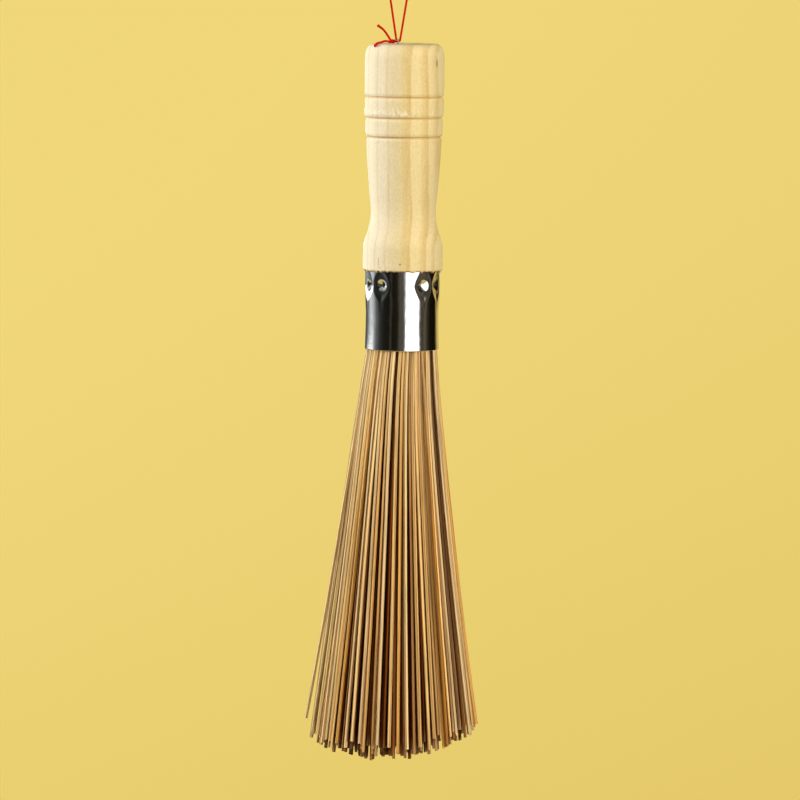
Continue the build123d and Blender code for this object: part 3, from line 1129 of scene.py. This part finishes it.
bundle = bpy.data.node_groups.new("splint_bundle", "GeometryNodeTree")
bundle.interface.new_socket("Geometry", in_out="OUTPUT", socket_type="NodeSocketGeometry")
bundle_inputs = {}
for name, size in bundle_sizes.items():
    socket = bundle.interface.new_socket(name, in_out="INPUT", socket_type="NodeSocketFloat")
    bundle_inputs[socket.identifier] = size
given = add_node(bundle, "NodeGroupInput").outputs


def step(kind, settings=None, inputs=None, output=0):
    """One step in the making of the bundle, and what it gives."""
    return add_node(bundle, kind, settings, inputs).outputs[output]


def sum_of(operation, first, second=0.0, third=0.0):
    """One sum in the bundle's tree."""
    return math_node(bundle, operation, first, second, third)


def store(geometry, name, kind, value):
    """The geometry with a named value on its points."""
    settings = {"data_type": kind, "domain": "POINT"}
    inputs = {"Geometry": geometry, "Name": name, "Value": value}
    return step("GeometryNodeStoreNamedAttribute", settings, inputs)


def stored(name, kind="FLOAT"):
    """A value that was stored on the points."""
    return step("GeometryNodeInputNamedAttribute", {"data_type": kind}, {"Name": name}, "Attribute")


def uneven(seed, low=-1.0, high=1.0):
    """A random value for each splint."""
    inputs = {2: low, 3: high, "ID": stored("number", "INT"), "Seed": seed}
    return step("FunctionNodeRandomValue", {"data_type": "FLOAT"}, inputs, 1)


# the roots, in rings from the outside in, with a few places left empty
root_rings = add_node(bundle, "GeometryNodeJoinGeometry")
ring_radius = bundle_radius - splint_side / 2
splint_count = 0
while ring_radius > splint_side:
    pitch = 2 * math.atan((splint_side + splint_gap) / 2 / (ring_radius - splint_side / 2))
    ring_count = math.floor(2 * math.pi / pitch)
    ring_sizes = {"Vertices": ring_count, "Radius": ring_radius * mm}
    ring = step("GeometryNodeMeshCircle", {"fill_type": "NONE"}, ring_sizes, "Mesh")
    bundle.links.new(ring, root_rings.inputs[0])
    splint_count += ring_count
    ring_radius -= splint_side + ring_gap
roots = store(root_rings.outputs[0], "number", "INT", step("GeometryNodeInputIndex"))
shift = [sum_of("MULTIPLY", uneven(seed), given["Root scatter"]) for seed in (61, 62)]
roots = step("GeometryNodeSetPosition", None, {"Geometry": roots, "Offset": joined(bundle, *shift)})
roots = store(roots, "root", "FLOAT_VECTOR", step("GeometryNodeInputPosition"))
missing = step(
    "FunctionNodeCompare",
    {"data_type": "FLOAT", "operation": "LESS_THAN"},
    {0: uneven(63, 0.0, 1.0), 1: missing_share},
)
roots = step(
    "GeometryNodeDeleteGeometry", {"domain": "POINT"}, {"Geometry": roots, "Selection": missing}
)

# a line from each root, drawn down through the bundle
line = step("GeometryNodeCurvePrimitiveLine", None, {"End": (0, 0, -1)})
line = step("GeometryNodeResampleCurve", None, {"Curve": line, "Count": splint_points})
lines = step("GeometryNodeInstanceOnPoints", None, {"Points": roots, "Instance": line})
lines = step("GeometryNodeRealizeInstances", None, {0: lines})
lines = store(lines, "share", "FLOAT", step("GeometryNodeSplineParameter", output="Factor"))
root = parts_of(bundle, stored("root", "FLOAT_VECTOR"))
root_x, root_y = root["X"], root["Y"]
root_share = sum_of("DIVIDE", distance_across(bundle, root_x, root_y), given["Bundle radius"])
lines = store(lines, "depth", "FLOAT", sum_of("SUBTRACT", 1.0, root_share))
# the strips at the sides are cut shortest, those at the front and back by less
dome_squares = sum_of("MULTIPLY", sum_of("POWER", root_y, 2.0), dome_depth_share)
dome_squares = sum_of("ADD", dome_squares, sum_of("POWER", root_x, 2.0))
dome_share = sum_of("DIVIDE", dome_squares, sum_of("POWER", given["Bundle radius"], 2.0))
length = sum_of("SUBTRACT", given["Reach"], sum_of("MULTIPLY", dome_share, given["Dome rise"]))
length = sum_of("MULTIPLY_ADD", uneven(11), given["Tip scatter"], length)
side_share = sum_of("DIVIDE", root_x, given["Bundle radius"])
length = sum_of("SUBTRACT", length, sum_of("MULTIPLY", side_share, given["Tip slope"]))
# the first span of each line is inside the ferrule, and the second point is at its mouth
spans = splint_points - 1
span_number = sum_of("MULTIPLY_ADD", stored("share"), spans, -1.0)
outside_share = sum_of("MULTIPLY", sum_of("MAXIMUM", span_number, 0.0), 1 / (spans - 1))
below = sum_of("MULTIPLY", outside_share, length)
fallen = sum_of("MULTIPLY_ADD", sum_of("MINIMUM", span_number, 0.0), given["Inside"], below)
below_share = sum_of("DIVIDE", below, given["Reach"])
spread = sum_of("DIVIDE", given["Tip radius"], given["Bundle radius"])
spread = sum_of("SUBTRACT", sum_of("SUBTRACT", spread, 1.0), given["Quick spread"])
quick_share = sum_of("DIVIDE", below, sum_of("ADD", below, given["Quick drop"]))
fan = sum_of("MULTIPLY_ADD", quick_share, given["Quick spread"], 1.0)
fan = sum_of("MULTIPLY_ADD", sum_of("POWER", below_share, fan_power), spread, fan)
# most strips keep to their place, and about one in twelve strays further
far_out = sum_of("GREATER_THAN", uneven(19, 0.0, 1.0), keeping_share)
scatter = sum_of("MULTIPLY_ADD", far_out, given["Wide scatter"], given["Side scatter"])
astray = sum_of("MULTIPLY", sum_of("POWER", below_share, stray_power), scatter)
wave = sum_of("SINE", sum_of("MULTIPLY_ADD", below_share, wave_turn, uneven(17, 0.0, full_turn)))
wave = sum_of("MULTIPLY", wave, wave_share)
stray_x = sum_of("MULTIPLY", sum_of("ADD", uneven(21), wave), astray)
stray_y = sum_of("MULTIPLY", sum_of("ADD", uneven(22), wave), astray)
lean = sum_of("DIVIDE", below, sum_of("ADD", below, given["Lean drop"]))
lean = sum_of("MULTIPLY", lean, given["Lean"])
strip_x = sum_of("ADD", sum_of("MULTIPLY_ADD", root_x, fan, stray_x), given["Axis X"])
strip_x = sum_of("SUBTRACT", strip_x, lean)
strip_y = sum_of("MULTIPLY_ADD", root_y, fan, stray_y)
strip_z = sum_of("SUBTRACT", given["Mouth level"], fallen)
strip_place = joined(bundle, strip_x, strip_y, strip_z)
lines = step("GeometryNodeSetPosition", None, {"Geometry": lines, "Position": strip_place})

# the strips that have sprung out
all_lines = add_node(bundle, "GeometryNodeJoinGeometry")
for number, (places, slimmer) in enumerate(sprung_strips):
    bend = {"Resolution": splint_points}
    for name, (right, back, up) in zip(("Start", "Middle", "End"), places):
        bend[name] = Vector((handle_axis_x / mm + right, back, mouth_level + up)) * mm
    sprung = step("GeometryNodeCurveQuadraticBezier", None, bend)
    sprung = store(sprung, "number", "INT", splint_count + number)
    sprung = store(sprung, "slimmer", "FLOAT", slimmer)
    sprung = store(sprung, "share", "FLOAT", step("GeometryNodeSplineParameter", output="Factor"))
    bundle.links.new(sprung, all_lines.inputs[0])
bundle.links.new(lines, all_lines.inputs[0])

# each line becomes a strip, turned its own way
strips = step(
    "GeometryNodeSetCurveTilt", None, {"Curve": all_lines.outputs[0], "Tilt": uneven(31, 0.0, full_turn)}
)
thickness = sum_of("SUBTRACT", uneven(41, slimmest_share, widest_share), stored("slimmer"))
thickness = sum_of("MAXIMUM", thickness, least_thickness)
strips = step("GeometryNodeSetCurveRadius", None, {"Curve": strips, "Radius": thickness})
strips = store(strips, "tone", "FLOAT", uneven(51, 0.0, 1.0))
section = step(
    "GeometryNodeCurvePrimitiveQuadrilateral",
    {"mode": "RECTANGLE"},
    {"Width": given["Splint side"], "Height": sum_of("MULTIPLY", given["Splint side"], thin_share)},
)
section_in_mm = vector_sum(bundle, "SCALE", step("GeometryNodeInputPosition"), {"Scale": 1 / mm})
section = store(section, "across", "FLOAT_VECTOR", section_in_mm)
strips = step(
    "GeometryNodeCurveToMesh", None, {"Curve": strips, "Profile Curve": section, "Fill Caps": True}
)
strips = store(strips, "along", "FLOAT", stored("share"))
strips = step("GeometryNodeSetShadeSmooth", None, {0: strips, "Shade Smooth": False})
strips = step("GeometryNodeRealizeInstances", None, {0: strips})
strips = step("GeometryNodeSetMaterial", None, {"Geometry": strips, "Material": bamboo_material})
add_node(bundle, "NodeGroupOutput", None, {0: strips})
holder = new_object("splint_holder", bpy.data.meshes.new("empty"))
maker = holder.modifiers.new("bundle", "NODES")
maker.node_group = bundle
for identifier, size in bundle_inputs.items():
    maker[identifier] = size
splints = new_object("bamboo_splints", plain_mesh(holder))
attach(splints, "brush")
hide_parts(*[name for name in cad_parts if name.startswith("splint_ring")])
